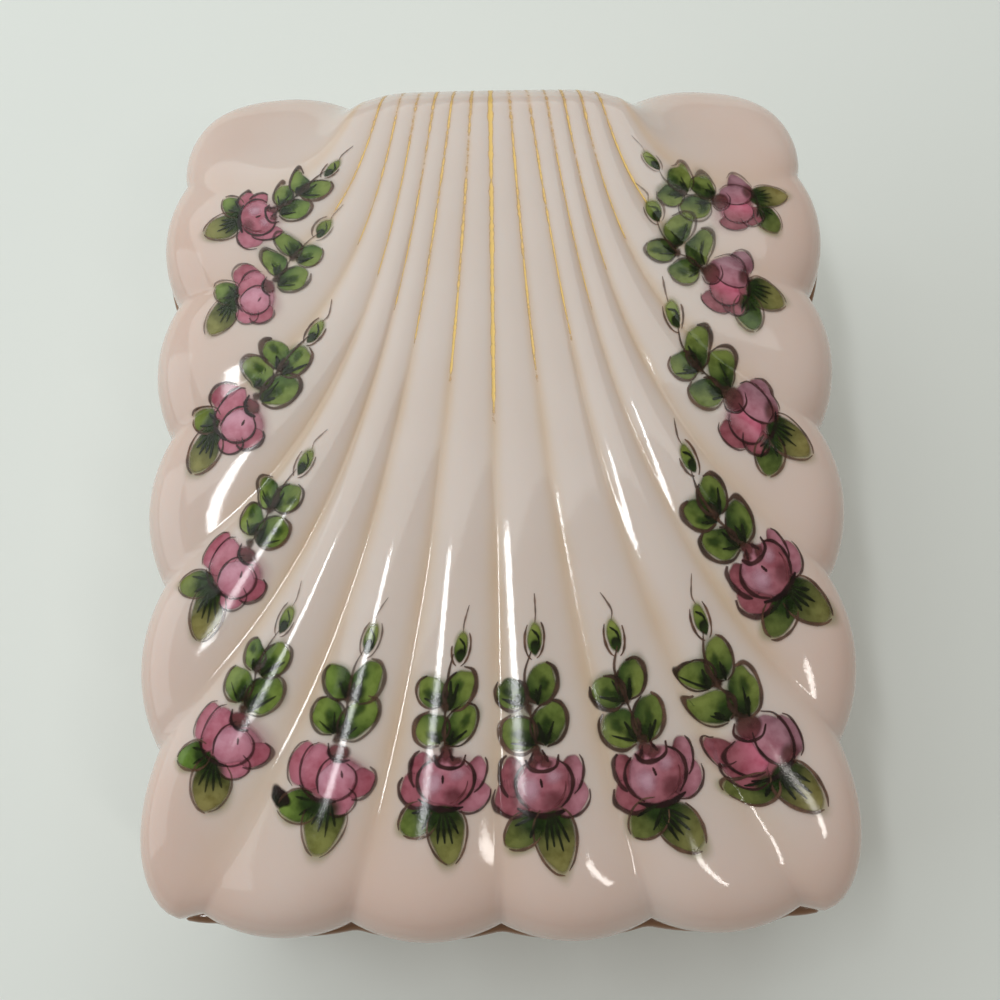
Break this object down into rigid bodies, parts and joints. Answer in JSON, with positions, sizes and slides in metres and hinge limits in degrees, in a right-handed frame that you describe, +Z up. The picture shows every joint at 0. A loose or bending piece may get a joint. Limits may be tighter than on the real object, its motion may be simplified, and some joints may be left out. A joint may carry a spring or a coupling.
{
  "type": "cigarette box",
  "caption": "Oblong pressed milk-glass cigarette box with scalloped walls and a lift-off lid moulded as a scallop shell, painted with rose sprays and worn gilt lines",
  "frame": {"origin": "middle of the overall bounding box in plan, on the flat underside of the base", "axes": "+Z up, +X across the box to the right, +Y along its length towards the hub of the shell at the back"},
  "size_m": [0.0956, 0.1212, 0.0529],
  "materials": {
    "milk_glass": "glossy opaque pink milk glass",
    "rose_enamel": "thin glossy painted enamel",
    "leaf_enamel": "thin glossy painted enamel",
    "outline_enamel": "thin glossy painted enamel",
    "gilt": "worn gold paint"
  },
  "bodies": {
    "root": {"base": "milk_glass", "lid": "milk_glass"}
  },
  "joints": []
}
